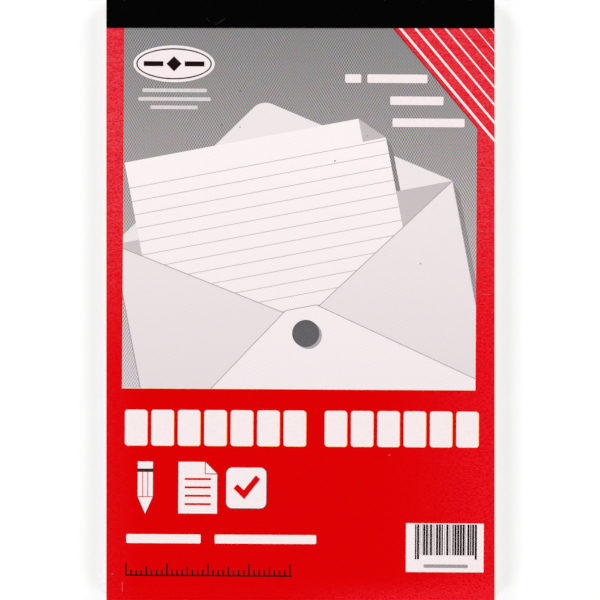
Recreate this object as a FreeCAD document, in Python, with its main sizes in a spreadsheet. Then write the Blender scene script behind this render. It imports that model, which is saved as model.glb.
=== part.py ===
# Legal pad, bound at the top: a printed front cover, a block of ruled sheets and a chipboard back,
# glued at the head edge and held by one strip of folded tape.
#
# Millimetres. +Y points to the taped head, +X to the right of the page, +Z out of the front cover.
# The origin is at the middle of the pad's outline, on the surface that the pad lies on.

import FreeCAD, Part
import Sketcher
import os

# Driving dimensions: name, value, what it measures
DRIVING = [
    ("page_width", 148.5, "sheets, cover, board and tape, from side to side"),
    ("page_length", 229.7, "sheets, cover and board, from head edge to foot edge"),
    ("sheet_count", 100, "writing sheets in the block"),
    ("sheet_thickness", 0.075, "one writing sheet"),
    ("board_thickness", 0.7, "chipboard back"),
    ("cover_thickness", 0.2, "printed cover paper"),
    ("tape_thickness", 0.18, "binding tape"),
    ("tape_front_lap", 11.1, "tape on the front, from the head to the tape's edge"),
    ("tape_back_lap", 14.0, "tape on the back, from the head to the tape's edge"),
    ("tape_press", 0.05, "depth that the tape is pressed into the chipboard"),
    ("glue_thickness", 0.3, "padding adhesive on the head edge"),
    ("fold_clearance", 0.2, "from the tape's edge to the edge of the turning cover"),
]

# Dimensions that follow from them: name, formula, what it measures
DERIVED = [
    ("pad_length", "page_length + glue_thickness + tape_thickness", "whole pad with its tape"),
    ("head_face", "pad_length / 2", "Y of the tape's outer face at the head"),
    ("tape_head", "head_face - tape_thickness", "Y of the tape's inner face at the head"),
    ("page_head", "tape_head - glue_thickness", "Y of the sheets' head edge"),
    ("page_foot", "page_head - page_length", "Y of the sheets' foot edge"),
    ("tape_front_edge", "head_face - tape_front_lap", "Y of the tape's edge on the front"),
    ("tape_back_edge", "head_face - tape_back_lap", "Y of the tape's edge on the back"),
    ("cover_fold", "tape_front_edge - fold_clearance", "Y of the turning cover's fold edge"),
    ("pad_side", "page_width / 2", "X of the pad's right side"),
    ("lying_surface", "0", "Z of the surface that the pad lies on"),
    ("board_bottom", "tape_thickness - tape_press", "Z of the board's back face"),
    ("board_top", "board_bottom + board_thickness", "Z of the board's front face"),
    ("block_height", "sheet_count * sheet_thickness", "height of the pile of sheets"),
    ("block_top", "board_top + block_height", "Z of the first sheet's face"),
    ("cover_top", "block_top + cover_thickness", "Z of the cover's printed face"),
    ("tape_top", "cover_top + tape_thickness", "Z of the tape's outer face on the front"),
]

SAME_PLACE = 1e-4


def make_sizes(doc):
    """Spreadsheet of the pad's sizes: each value in column A, with its name as the alias."""
    sizes = doc.addObject("Spreadsheet::Sheet", "sizes")
    for row, (name, value, meaning) in enumerate(DRIVING, start=1):
        sizes.set(f"A{row}", str(value))
        sizes.setAlias(f"A{row}", name)
        sizes.set(f"B{row}", meaning)
    for row, (name, formula, meaning) in enumerate(DERIVED, start=len(DRIVING) + 1):
        sizes.set(f"A{row}", f"={formula}")
        sizes.setAlias(f"A{row}", name)
        sizes.set(f"B{row}", meaning)
    doc.recompute()
    return sizes


def make_leaf(doc, node, foot, head, bottom, top):
    """A flat rectangular piece as wide as the page, between two Y values and two Z values."""
    leaf = doc.addObject("Part::Box", node)
    leaf.Label = node
    leaf.setExpression("Length", "sizes.page_width")
    leaf.setExpression("Width", f"sizes.{head} - sizes.{foot}")
    leaf.setExpression("Height", f"sizes.{top} - sizes.{bottom}")
    leaf.setExpression("Placement.Base.x", "-sizes.pad_side")
    leaf.setExpression("Placement.Base.y", f"sizes.{foot}")
    leaf.setExpression("Placement.Base.z", f"sizes.{bottom}")
    return leaf


def draw_side_section(sizes, body, name, corners):
    """Closed sketch on the body's side plane, through corners given as the names of their Y and Z."""
    sketch = body.newObject("Sketcher::SketchObject", name)
    side = next(plane for plane in body.Origin.OriginFeatures if plane.Role == "YZ_Plane")
    sketch.AttachmentSupport = [(side, "")]
    sketch.MapMode = "FlatFace"
    points = [FreeCAD.Vector(sizes.get(y), sizes.get(z), 0) for y, z in corners]
    for index, start in enumerate(points):
        end = points[(index + 1) % len(points)]
        sketch.addGeometry(Part.LineSegment(start, end), False)
    origin, first_point, last_point = -1, 1, 2
    for index, (y, z) in enumerate(corners):
        following = (index + 1) % len(corners)
        sketch.addConstraint(
            Sketcher.Constraint("Coincident", index, last_point, following, first_point)
        )
        for direction, size, value in (
            ("DistanceX", y, points[index].x),
            ("DistanceY", z, points[index].y),
        ):
            place = Sketcher.Constraint(direction, origin, first_point, index, first_point, value)
            number = sketch.addConstraint(place)
            sketch.setExpression(f"Constraints[{number}]", f"sizes.{size}")
    return sketch


def make_section_body(doc, sizes, node, corners):
    """A body with one side section, drawn across the whole width of the page."""
    body = doc.addObject("PartDesign::Body", node)
    body.Label = node
    sketch = draw_side_section(sizes, body, f"{node}_section", corners)
    strip = body.newObject("PartDesign::Pad", f"{node}_width")
    strip.Profile = sketch
    strip.SideType = "Symmetric"
    strip.setExpression("Length", "sizes.page_width")
    doc.recompute()
    return body


def round_outer_folds(doc, sizes, tape):
    """Round the tape's two outer folds at the head, about the corners of the pile inside."""
    strip = tape.Tip
    head_face = sizes.get("head_face")
    fold_heights = (sizes.get("lying_surface"), sizes.get("tape_top"))
    folds = []
    for number, edge in enumerate(strip.Shape.Edges, start=1):
        middle = edge.CenterOfMass
        across = abs(middle.x) < SAME_PLACE
        at_head = abs(middle.y - head_face) < SAME_PLACE
        at_fold = any(abs(middle.z - height) < SAME_PLACE for height in fold_heights)
        if across and at_head and at_fold:
            folds.append(f"Edge{number}")
    rounding = tape.newObject("PartDesign::Fillet", "tape_folds")
    rounding.Base = (strip, folds)
    rounding.setExpression("Radius", "sizes.tape_thickness")
    doc.recompute()


def make_binding_tape(doc, sizes):
    """One strip of tape, folded round the head from the back of the board to the front cover."""
    tape = make_section_body(
        doc,
        sizes,
        "binding_tape",
        [
            ("tape_back_edge", "lying_surface"),
            ("head_face", "lying_surface"),
            ("head_face", "tape_top"),
            ("tape_front_edge", "tape_top"),
            ("tape_front_edge", "cover_top"),
            ("tape_head", "cover_top"),
            ("tape_head", "tape_thickness"),
            ("tape_back_edge", "tape_thickness"),
        ],
    )
    round_outer_folds(doc, sizes, tape)
    return tape


def make_backing_board(doc, sizes):
    """Chipboard back, with the shallow step where the tape is pressed into it."""
    return make_section_body(
        doc,
        sizes,
        "backing_board",
        [
            ("page_foot", "board_bottom"),
            ("tape_back_edge", "board_bottom"),
            ("tape_back_edge", "tape_thickness"),
            ("page_head", "tape_thickness"),
            ("page_head", "board_top"),
            ("page_foot", "board_top"),
        ],
    )


def check_objects(doc, pieces):
    """Stop if any object of the document failed, or if a piece is not one valid solid."""
    for item in doc.Objects:
        if "Invalid" in item.State or "Error" in item.State:
            raise RuntimeError(f"{item.Label} did not compute: {item.State}")
    for piece in pieces:
        shape = piece.Shape
        if shape.isNull() or not shape.isValid() or len(shape.Solids) != 1:
            raise RuntimeError(f"{piece.Label} is not one valid solid")


def main():
    """Build the pad and write each piece to its own file."""
    doc = FreeCAD.newDocument("legal_pad")
    sizes = make_sizes(doc)
    pieces = [
        make_leaf(doc, "sheet_block", "page_foot", "page_head", "board_top", "block_top"),
        make_leaf(doc, "front_cover", "page_foot", "cover_fold", "block_top", "cover_top"),
        make_leaf(doc, "cover_head_strip", "tape_front_edge", "page_head", "block_top", "cover_top"),
        make_leaf(doc, "glue_film", "page_head", "tape_head", "tape_thickness", "cover_top"),
        make_backing_board(doc, sizes),
        make_binding_tape(doc, sizes),
    ]
    doc.recompute()
    check_objects(doc, pieces)
    os.makedirs("parts", exist_ok=True)
    for piece in pieces:
        piece.Shape.exportStep(f"parts/{piece.Label}.step")
        box = piece.Shape.BoundBox
        print(f"{piece.Label}: {piece.Shape.Volume:.1f} mm3, Z {box.ZMin:.3f} to {box.ZMax:.3f}")


main()
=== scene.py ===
"""Looks of the legal pad: printed cover, ruled sheets, chipboard back and folded binding tape.

Everything is in metres in the part's own frame: +Y to the taped head, +X to the right of the page
and +Z out of the cover. The printed design is laid out in millimetres across from the cover's left
side and down from its head, as a printer would measure it.
"""

import logging
import math
import random
from dataclasses import dataclass
from enum import Enum
from typing import Iterable, Sequence

import bmesh
import bpy
from mathutils import Matrix, Vector


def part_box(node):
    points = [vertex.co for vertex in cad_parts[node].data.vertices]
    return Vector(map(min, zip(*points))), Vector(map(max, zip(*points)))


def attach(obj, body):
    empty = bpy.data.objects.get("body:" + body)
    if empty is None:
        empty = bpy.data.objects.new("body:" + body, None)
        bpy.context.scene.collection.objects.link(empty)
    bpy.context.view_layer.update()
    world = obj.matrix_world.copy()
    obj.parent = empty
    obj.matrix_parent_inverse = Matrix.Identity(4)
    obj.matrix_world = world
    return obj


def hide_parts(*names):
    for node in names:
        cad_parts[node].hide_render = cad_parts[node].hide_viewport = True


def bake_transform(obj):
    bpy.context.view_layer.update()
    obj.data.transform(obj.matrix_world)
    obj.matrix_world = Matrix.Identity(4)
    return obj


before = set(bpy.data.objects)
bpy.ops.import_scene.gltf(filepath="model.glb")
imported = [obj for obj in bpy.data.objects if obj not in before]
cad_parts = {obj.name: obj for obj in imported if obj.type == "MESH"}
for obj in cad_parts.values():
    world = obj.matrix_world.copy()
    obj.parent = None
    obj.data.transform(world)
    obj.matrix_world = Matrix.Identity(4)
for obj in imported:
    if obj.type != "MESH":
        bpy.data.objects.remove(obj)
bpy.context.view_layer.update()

LOG = logging.getLogger("legal_pad")

MM = 0.001
METRE_MM = 1000.0
PAD_BODY = "pad"
COVER_BODY = "cover"
WHITE = (1.0, 1.0, 1.0, 1.0)

# (across, down) in millimetres on the cover
Point = tuple[float, float]
Outline = Sequence[Point]
Span = tuple[float, float]
Triple = tuple[float, float, float]
Tree = bpy.types.NodeTree
Socket = bpy.types.NodeSocket
BMesh = bmesh.types.BMesh


def linear(code: str) -> tuple[float, float, float, float]:
    """Turn an sRGB hex colour into linear light with full alpha.

    Args:
        code: the colour, such as "#dc0207".

    Returns:
        Red, green, blue and alpha.
    """
    channels = [int(code[start : start + 2], 16) / 255 for start in (1, 3, 5)]
    toe, gain, gamma, offset = 0.04045, 12.92, 2.4, 0.055
    lit = [c / gain if c <= toe else ((c + offset) / (1 + offset)) ** gamma for c in channels]
    return (lit[0], lit[1], lit[2], 1.0)


def per_metre(millimetres: float) -> float:
    """Repeats per metre of a pattern whose features are this many millimetres apart."""
    return METRE_MM / millimetres


def add_node(tree: Tree, kind: str, inputs: dict | None = None, **settings: object) -> bpy.types.Node:
    """Add one node, set its properties, and fill or link its inputs.

    Args:
        tree: the node tree that gets the node.
        kind: Blender's identifier of the node.
        inputs: socket name or number to a plain value, or to an output socket to link.
        **settings: properties of the node itself.

    Returns:
        The new node.
    """
    node = tree.nodes.new(kind)
    for name, value in settings.items():
        setattr(node, name, value)
    for key, value in (inputs or {}).items():
        if isinstance(value, Socket):
            tree.links.new(value, node.inputs[key])
        else:
            node.inputs[key].default_value = value
    return node


@dataclass(frozen=True)
class Finish:
    """A surface as it was made: its name, its main colour and how it takes light.

    Its grain is the paper's tooth. Real tooth is finer than a pixel of the picture, so it is drawn
    coarser, about half a millimetre apart.
    """

    name: str
    colour: str
    roughness: float = 0.38
    shine: float = 0.16
    grain_mm: float = 0.5
    grain_depth_mm: float = 0.004
    grain_detail: float = 3.0

    def material(self) -> bpy.types.Material:
        """Make the material, or return the one made before under this name.

        Returns:
            The finished material.
        """
        made = bpy.data.materials.get(self.name)
        if made is not None:
            return made
        made = bpy.data.materials.new(self.name)
        made.use_nodes = True
        made.diffuse_color = linear(self.colour)
        tree = made.node_tree
        shader = tree.nodes["Principled BSDF"]
        shader.inputs["Roughness"].default_value = self.roughness
        shader.inputs["Specular IOR Level"].default_value = self.shine
        place = add_node(tree, "ShaderNodeTexCoord").outputs["Object"]
        tree.links.new(self.paint(tree, place), shader.inputs["Base Color"])
        tree.links.new(self.relief(tree, place), shader.inputs["Normal"])
        return made

    def paint(self, tree: Tree, place: Socket) -> Socket:
        """Colour of the surface at a place.

        Args:
            tree: the material's nodes.
            place: object coordinates.

        Returns:
            The socket that carries the colour.
        """
        raise NotImplementedError

    def flecked(
        self, tree: Tree, pattern: dict, span: Span, most: float, ground: object, fleck: str
    ) -> Socket:
        """Lay flecks of a second tone over a ground, where the paper's own pattern is strong.

        Args:
            tree: the material's nodes.
            pattern: the pattern's place, scale, detail and roughness.
            span: its values between which the flecks grow.
            most: how far they reach their own tone.
            ground: the tone below, plain or a socket.
            fleck: the flecks' own tone.

        Returns:
            The socket that carries the colour.
        """
        soft = add_node(tree, "ShaderNodeTexNoise", pattern)
        share = add_node(
            tree,
            "ShaderNodeMapRange",
            {
                "Value": soft.outputs["Fac"],
                "From Min": span[0],
                "From Max": span[1],
                "To Min": 0.0,
                "To Max": most,
            },
        )
        tones = {"Factor": share.outputs[0], "A": ground, "B": linear(fleck)}
        return add_node(tree, "ShaderNodeMix", tones, data_type="RGBA").outputs["Result"]

    def relief(self, tree: Tree, place: Socket) -> Socket:
        """Normal of the surface, with its fine grain.

        Args:
            tree: the material's nodes.
            place: object coordinates.

        Returns:
            The socket that carries the normal.
        """
        pattern = {"Vector": place, "Scale": per_metre(self.grain_mm), "Detail": self.grain_detail}
        grain = add_node(tree, "ShaderNodeTexNoise", pattern).outputs["Fac"]
        relief = {"Height": grain, "Distance": self.grain_depth_mm * MM, "Strength": 1.0}
        return add_node(tree, "ShaderNodeBump", relief).outputs["Normal"]


@dataclass(frozen=True)
class Ink(Finish):
    """Offset ink or bare cover board: one colour with a fine mottle of the same hue.

    Board takes ink unevenly in spots of about a millimetre.
    """

    mottle: str = "#f5e9ea"
    mottle_share: float = 0.3
    mottle_mm: float = 0.9
    mottle_detail: float = 4.0
    mottle_span: Span = (0.35, 0.75)

    def paint(self, tree: Tree, place: Socket) -> Socket:
        """Mix the colour with its mottle by a soft noise.

        Args:
            tree: the material's nodes.
            place: object coordinates.

        Returns:
            The socket that carries the colour.
        """
        scale = per_metre(self.mottle_mm)
        pattern = {"Vector": place, "Scale": scale, "Detail": self.mottle_detail}
        ground = linear(self.colour)
        return self.flecked(tree, pattern, self.mottle_span, self.mottle_share, ground, self.mottle)


@dataclass(frozen=True)
class RedGround(Finish):
    """Solid red offset ink on coated cover paper, lightened by painted light at the sides and the foot,
    and starved towards the head.

    Starved ink shows the paper's texture: pinholes, and level bands of deeper and paler red. The fades
    are places on the page in metres, and the shares are how far the painted light at the sides and foot,
    and the starved ink towards the head, come through there.
    Real pinholes are finer than a pixel of the picture, so they are drawn half a millimetre apart.
    """

    # Red of the painted light that lightens the ground towards the sides and the foot
    bright: str = "#ec1a28"
    starved: str = "#e5374a"
    deep: str = "#de2436"
    pale: str = "#ec4c58"
    sides_x: Span = (-0.0742, 0.0742)
    # Where the painted light grows: towards the right and left sides, and along the foot
    right_fade_x: Span = (0.026, 0.0742)
    left_fade_x: Span = (-0.062, -0.0742)
    foot_fade_x: Span = (-0.005, 0.0742)
    foot_fade_y: Span = (-0.1045, -0.116)
    head_fade_y: Span = (-0.033, 0.0775)
    right_most: float = 0.48
    left_most: float = 0.22
    foot_shares: Span = (0.1, 1.7)
    head_shares: Span = (1.0, 0.84)
    fade_curve: float = 2.0
    grain_size_mm: float = 0.5
    grain: Triple = (0.5, 1.0, 1.0)
    grain_span: Span = (-0.2, 2.2)
    pinhole_span: Span = (0.0, 1.5)
    band_mm: float = 1.5
    band: Triple = (0.3, 1.0, 1.0)
    band_share: float = 0.5
    streak_mm: float = 0.5
    streak: Triple = (0.22, 1.0, 1.0)
    film_swing: float = 0.09
    calm_share: float = 0.35
    texture_span: Span = (0.36, 0.64)
    texture_detail: float = 3.0
    texture_roughness: float = 0.6

    def fades(self, tree: Tree, place: Socket) -> dict[str, Socket]:
        """Shares that grow along the page, towards its sides, its foot and its head.

        Args:
            tree: the material's nodes.
            place: object coordinates.

        Returns:
            The sockets that carry the shares, by name.
        """
        axes = add_node(tree, "ShaderNodeSeparateXYZ", {0: place}).outputs
        whole = (0.0, 1.0)
        shares = {}
        for name, axis, span, ends, shape in (
            ("right", "X", self.right_fade_x, whole, "LINEAR"),
            ("left", "X", self.left_fade_x, (0.0, self.left_most), "LINEAR"),
            ("foot", "Y", self.foot_fade_y, whole, "LINEAR"),
            ("along_foot", "X", self.foot_fade_x, self.foot_shares, "LINEAR"),
            ("head", "Y", self.head_fade_y, whole, "SMOOTHSTEP"),
            ("along_head", "X", self.sides_x, self.head_shares, "LINEAR"),
        ):
            growth = {
                "Value": axes[axis],
                "From Min": span[0],
                "From Max": span[1],
                "To Min": ends[0],
                "To Max": ends[1],
            }
            share = add_node(tree, "ShaderNodeMapRange", growth, interpolation_type=shape)
            shares[name] = share.outputs[0]
        return shares

    def painted_light_share(self, tree: Tree, fades: dict[str, Socket]) -> Socket:
        """Share of painted light: at the right side, a little at the left, and along the foot.

        Args:
            tree: the material's nodes.
            fades: the shares that grow along the page.

        Returns:
            The socket that carries the share.
        """
        curve = self.fade_curve
        right = add_node(tree, "ShaderNodeMath", {0: fades["right"], 1: curve}, operation="POWER")
        both_sides = {0: right.outputs[0], 1: self.right_most, 2: fades["left"]}
        sides = add_node(tree, "ShaderNodeMath", both_sides, operation="MULTIPLY_ADD")
        foot = add_node(tree, "ShaderNodeMath", {0: fades["foot"], 1: curve}, operation="POWER")
        whole_foot = {0: foot.outputs[0], 1: fades["along_foot"]}
        uneven_foot = add_node(tree, "ShaderNodeMath", whole_foot, operation="MULTIPLY")
        shares = {0: sides.outputs[0], 1: uneven_foot.outputs[0]}
        return add_node(tree, "ShaderNodeMath", shares, operation="ADD").outputs[0]

    def paper_texture(
        self, tree: Tree, place: Socket, size_mm: float, drawn_out: Triple, span: Span
    ) -> Socket:
        """Texture of the paper under the ink, drawn out level and spread over a span of values.

        Args:
            tree: the material's nodes.
            place: object coordinates.
            size_mm: the distance between features, down the page.
            drawn_out: scale along each axis, where a small one makes long features.
            span: the values that it fills.

        Returns:
            The socket that carries the texture.
        """
        level = add_node(tree, "ShaderNodeMapping", {"Vector": place, "Scale": drawn_out})
        pattern = {
            "Vector": level.outputs[0],
            "Scale": per_metre(size_mm),
            "Detail": self.texture_detail,
            "Roughness": self.texture_roughness,
        }
        texture = add_node(tree, "ShaderNodeTexNoise", pattern)
        values = {
            "Value": texture.outputs["Fac"],
            "From Min": self.texture_span[0],
            "From Max": self.texture_span[1],
            "To Min": span[0],
            "To Max": span[1],
        }
        return add_node(tree, "ShaderNodeMapRange", values).outputs[0]

    def paint(self, tree: Tree, place: Socket) -> Socket:
        """Mix full ink with painted light and starved ink, under a film of uneven thickness.

        Args:
            tree: the material's nodes.
            place: object coordinates.

        Returns:
            The socket that carries the colour.
        """
        fades = self.fades(tree, place)
        # Painted light: the red is lightened towards the sides and the foot
        sides = self.painted_light_share(tree, fades)
        rising = {0: fades["head"], 1: fades["along_head"]}
        towards_head = add_node(tree, "ShaderNodeMath", rising, operation="MULTIPLY").outputs[0]
        grain = self.paper_texture(tree, place, self.grain_size_mm, self.grain, self.grain_span)
        pinholes = self.paper_texture(tree, place, self.grain_size_mm, self.grain, self.pinhole_span)
        banding = self.paper_texture(tree, place, self.band_mm, self.band, (0.0, 1.0))
        grained_painted_light = add_node(tree, "ShaderNodeMath", {0: sides, 1: grain}, operation="MULTIPLY")
        pinholed = {0: towards_head, 1: pinholes}
        starving = add_node(tree, "ShaderNodeMath", pinholed, operation="MULTIPLY")
        beside = add_node(
            tree,
            "ShaderNodeMix",
            {"Factor": grained_painted_light.outputs[0], "A": linear(self.colour), "B": linear(self.bright)},
            data_type="RGBA",
        )
        bands = add_node(
            tree,
            "ShaderNodeMix",
            {"Factor": banding, "A": linear(self.deep), "B": linear(self.pale)},
            data_type="RGBA",
        )
        patched = add_node(
            tree,
            "ShaderNodeMix",
            {"Factor": self.band_share, "A": linear(self.starved), "B": bands.outputs["Result"]},
            data_type="RGBA",
        )
        inked = add_node(
            tree,
            "ShaderNodeMix",
            {
                "Factor": starving.outputs[0],
                "A": beside.outputs["Result"],
                "B": patched.outputs["Result"],
            },
            data_type="RGBA",
        )
        both = {0: sides, 1: towards_head}
        unrest = add_node(tree, "ShaderNodeMath", both, operation="ADD", use_clamp=True)
        return self.ink_film(tree, place, inked.outputs["Result"], unrest.outputs[0])

    def ink_film(self, tree: Tree, place: Socket, ink: Socket, unrest: Socket) -> Socket:
        """Ink in a film of uneven thickness, which runs in level streaks.

        Args:
            tree: the material's nodes.
            place: object coordinates.
            ink: colour of the ink.
            unrest: how uneven the film is, from none to full.

        Returns:
            The socket that carries the colour.
        """
        swing = add_node(
            tree,
            "ShaderNodeMapRange",
            {
                "Value": unrest,
                "To Min": self.film_swing * self.calm_share,
                "To Max": self.film_swing,
            },
        )
        streaks = self.paper_texture(tree, place, self.streak_mm, self.streak, (-1.0, 1.0))
        uneven = {0: streaks, 1: swing.outputs[0], 2: 1.0}
        thickness = add_node(tree, "ShaderNodeMath", uneven, operation="MULTIPLY_ADD")
        film = {"Vector": ink, "Scale": thickness.outputs[0]}
        return add_node(tree, "ShaderNodeVectorMath", film, operation="SCALE").outputs[0]


@dataclass(frozen=True)
class Halftone(Finish):
    """Tint printed from dot screens, from one tone at the head to another at the foot.

    A real screen has about 0.3 mm between dots, too fine to show here. The scan shows a coarser beat
    of diamonds, in patches, so the dots are drawn as far apart as that. The cyan, magenta and yellow
    plates each take one of red, green and blue, and lie a degree or two askew of each other.
    """

    tones: tuple[tuple[float, str], ...] = ()
    dot_mm: tuple[float, float] = (1.0, 1.63)
    strengths: Triple = (0.56, 0.42, 0.62)
    weakest: float = 0.5
    patch_mm: float = 5.0
    patch_detail: float = 1.0
    patch_span: Span = (0.36, 0.5)
    angles_deg: Triple = (-1.3, 0.2, 1.9)

    def paint(self, tree: Tree, place: Socket) -> Socket:
        """Lay the dot screens over the tone's gradient, each strongest in patches of its own.

        Args:
            tree: the material's nodes.
            place: object coordinates.

        Returns:
            The socket that carries the colour.
        """
        pattern = {"Vector": place, "Scale": per_metre(self.patch_mm), "Detail": self.patch_detail}
        patches = add_node(tree, "ShaderNodeTexNoise", pattern).outputs["Color"]
        spots = add_node(tree, "ShaderNodeSeparateColor", {0: patches}).outputs
        gains = {}
        for channel, angle, strength in zip(("Red", "Green", "Blue"), self.angles_deg, self.strengths):
            swing = add_node(
                tree,
                "ShaderNodeMapRange",
                {
                    "Value": spots[channel],
                    "From Min": self.patch_span[0],
                    "From Max": self.patch_span[1],
                    "To Min": strength * self.weakest,
                    "To Max": strength,
                },
            )
            gains[channel] = self.plate(tree, place, angle, swing.outputs[0])
        dots = add_node(tree, "ShaderNodeCombineColor", gains)
        screened = add_node(
            tree,
            "ShaderNodeMix",
            {"Factor": 1.0, "A": self.tone(tree, place), "B": dots.outputs[0]},
            data_type="RGBA",
            blend_type="MULTIPLY",
        )
        return screened.outputs["Result"]

    def tone(self, tree: Tree, place: Socket) -> Socket:
        """Gradient through the tones, from head to foot.

        Args:
            tree: the material's nodes.
            place: object coordinates.

        Returns:
            The socket that carries the tone.
        """
        height = add_node(tree, "ShaderNodeSeparateXYZ", {0: place}).outputs["Y"]
        first_y, last_y = self.tones[0][0], self.tones[-1][0]
        fall = {"Value": height, "From Min": first_y, "From Max": last_y}
        along = add_node(tree, "ShaderNodeMapRange", fall)
        ramp = add_node(tree, "ShaderNodeValToRGB", {"Fac": along.outputs[0]})
        stops = ramp.color_ramp.elements
        while len(stops) < len(self.tones):
            stops.new(1.0)
        for stop, (y, code) in zip(stops, self.tones):
            stop.position = (y - first_y) / (last_y - first_y)
            stop.color = linear(code)
        return ramp.outputs["Color"]

    def plate(self, tree: Tree, place: Socket, angle_deg: float, swing: Socket) -> Socket:
        """Gain of one channel: dots that brighten and darken it by the swing.

        Args:
            tree: the material's nodes.
            place: object coordinates.
            angle_deg: the plate's angle.
            swing: how far the gain goes from one.

        Returns:
            The socket that carries the gain.
        """
        across, down = (math.tau * per_metre(pitch) for pitch in self.dot_mm)
        turned = add_node(
            tree,
            "ShaderNodeMapping",
            {
                "Vector": place,
                "Rotation": (0.0, 0.0, math.radians(angle_deg)),
                "Scale": (across, down, 1.0),
            },
        )
        axes = add_node(tree, "ShaderNodeSeparateXYZ", {0: turned.outputs[0]}).outputs
        waves = {
            number: add_node(tree, "ShaderNodeMath", {0: axes[axis]}, operation="SINE").outputs[0]
            for number, axis in enumerate(("X", "Y"))
        }
        swell = add_node(tree, "ShaderNodeMath", waves, operation="MULTIPLY")
        dots = add_node(tree, "ShaderNodeMath", {0: swell.outputs[0]}, operation="SIGN")
        gain = {0: dots.outputs[0], 1: swing, 2: 1.0}
        return add_node(tree, "ShaderNodeMath", gain, operation="MULTIPLY_ADD").outputs[0]


@dataclass(frozen=True)
class FibrePaper(Finish):
    """Uncoated paper or board: a felt of fibres with flecks of another tone.

    Real fibres are far thinner than a pixel of the picture, so they are drawn coarser, half a
    millimetre wide or more.
    """

    fleck: str = "#d8d4cc"
    fleck_share: float = 0.5
    fleck_span: Span = (0.48, 0.72)
    fibre_mm: float = 0.5
    fibre_detail: float = 4.0
    fibre_roughness: float = 0.6
    stretch: float = 4.0
    turns_deg: Triple = (18.0, 104.0, 61.0)

    def paint(self, tree: Tree, place: Socket) -> Socket:
        """Mix in flecks that lie along and across the sheet.

        Args:
            tree: the material's nodes.
            place: object coordinates.

        Returns:
            The socket that carries the colour.
        """
        colour = linear(self.colour)
        for turn_deg in self.turns_deg:
            laid = add_node(
                tree,
                "ShaderNodeMapping",
                {
                    "Vector": place,
                    "Rotation": (0.0, 0.0, math.radians(turn_deg)),
                    "Scale": (1.0, 1.0 / self.stretch, 1.0),
                },
            )
            felt = {
                "Vector": laid.outputs[0],
                "Scale": per_metre(self.fibre_mm),
                "Detail": self.fibre_detail,
                "Roughness": self.fibre_roughness,
            }
            colour = self.flecked(tree, felt, self.fleck_span, self.fleck_share, colour, self.fleck)
        return colour


@dataclass(frozen=True)
class CutEdges(Finish):
    """Guillotined edges of a pile of sheets: fine level streaks, some a little darker."""

    streak: str = "#b9b5ad"
    streak_mm: float = 0.16
    run_mm: float = 45.0
    streak_detail: float = 4.0
    streak_roughness: float = 0.7
    streak_span: Span = (0.42, 0.72)
    streak_most: float = 0.9

    def paint(self, tree: Tree, place: Socket) -> Socket:
        """Mix in streaks that run along the edge. Sheets are 0.075 mm, so a streak is about two.

        Args:
            tree: the material's nodes.
            place: object coordinates.

        Returns:
            The socket that carries the colour.
        """
        along, across = per_metre(self.run_mm), per_metre(self.streak_mm)
        flat = add_node(tree, "ShaderNodeMapping", {"Vector": place, "Scale": (along, along, across)})
        streaks = {
            "Vector": flat.outputs[0],
            "Scale": 1.0,
            "Detail": self.streak_detail,
            "Roughness": self.streak_roughness,
        }
        ground = linear(self.colour)
        return self.flecked(tree, streaks, self.streak_span, self.streak_most, ground, self.streak)


def faint_tint(name: str, colour: str, *tones: tuple[float, str]) -> Halftone:
    """Pale tint of the picture, whose dots hardly show."""
    return Halftone(name, colour, tones=tones, strengths=(0.05, 0.04, 0.05))


# Coated cover paper printed in offset: thin satin ink, mottled where the paper takes it unevenly.
# Bare board shows pinkish under the scanner's light.
BARE_BOARD = Ink("offset_bare_board", "#f5e9ea", mottle="#ece0e1", mottle_share=0.5)
RED_INK = RedGround("offset_red_ink", "#dc0003")
RED_DETAIL = Ink("offset_red_detail", "#dc0207", mottle="#e11820", mottle_share=0.2)
RED_TRAP = Ink("offset_red_trap", "#a4101a", mottle="#8f1a20", mottle_share=0.4)
RED_SCRATCH = Ink("rubbed_red_ink", "#ee5a60", mottle="#dc0207", mottle_share=0.8, mottle_mm=1.5)
BLACK_INK = Ink("offset_black_ink", "#1d1011", mottle="#2c1416", mottle_share=0.4)
OUTLINE_INK = Ink("offset_outline_ink", "#3c2a26", mottle="#5a2024", mottle_share=0.5)
YELLOW_PLATE = Ink("offset_yellow_fringe", "#f3c86a", mottle="#f0e0a8", mottle_share=0.6)
CREAM_EDGE = Ink("offset_cream_edge", "#f6e6cf", mottle="#f3dcb0", mottle_share=0.6)
GREY_BAR = Ink("offset_grey_bar", "#9b9496", mottle="#b4acae", mottle_share=0.5)
PALE_BAR = Ink("offset_pale_bar", "#d5cfcf", mottle="#e6e0e0", mottle_share=0.6)
DUST = Ink("paper_dust_speck", "#6a6468", mottle="#8a8488", mottle_share=0.5)
LINE_GREY = Ink("offset_line_grey", "#c4bbbd", mottle="#d2c9cb", mottle_share=0.5)
SEAM_GREY = Ink("offset_seam_grey", "#a9a1a3", mottle="#b9b1b3", mottle_share=0.5)
SEAL_GREY = Ink("offset_seal_grey", "#5f5d5f", mottle="#6d6b6d", mottle_share=0.6)

# Halftone greys in the same inks, with their tones by height on the page, in metres
PANEL_TONES = (
    (0.1017, "#8a8888"),
    (0.0580, "#a09a9a"),
    (0.0150, "#b5adae"),
    (-0.0210, "#c8bfc2"),
    (-0.0330, "#cdc4c6"),
)
SHADOW_TONES = ((0.1017, "#787575"), (-0.0330, "#a8a0a2"))
PANEL_GREY = Halftone("offset_grey_halftone", "#aba4a4", tones=PANEL_TONES)
SHADOW_GREY = Halftone("offset_shadow_halftone", "#8f8a8b", tones=SHADOW_TONES)
PAPER_TINT = faint_tint("offset_paper_tint", "#f5edee", (0.060, "#f7efef"), (-0.033, "#efe6e8"))
FLAP_TINT = faint_tint("offset_flap_tint", "#ece3e5", (0.040, "#ece4e5"), (-0.033, "#e2d9db"))
POCKET_TINT = faint_tint("offset_pocket_tint", "#c9c1c3", (0.060, "#c3bbbd"), (-0.033, "#cfc7c9"))

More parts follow.
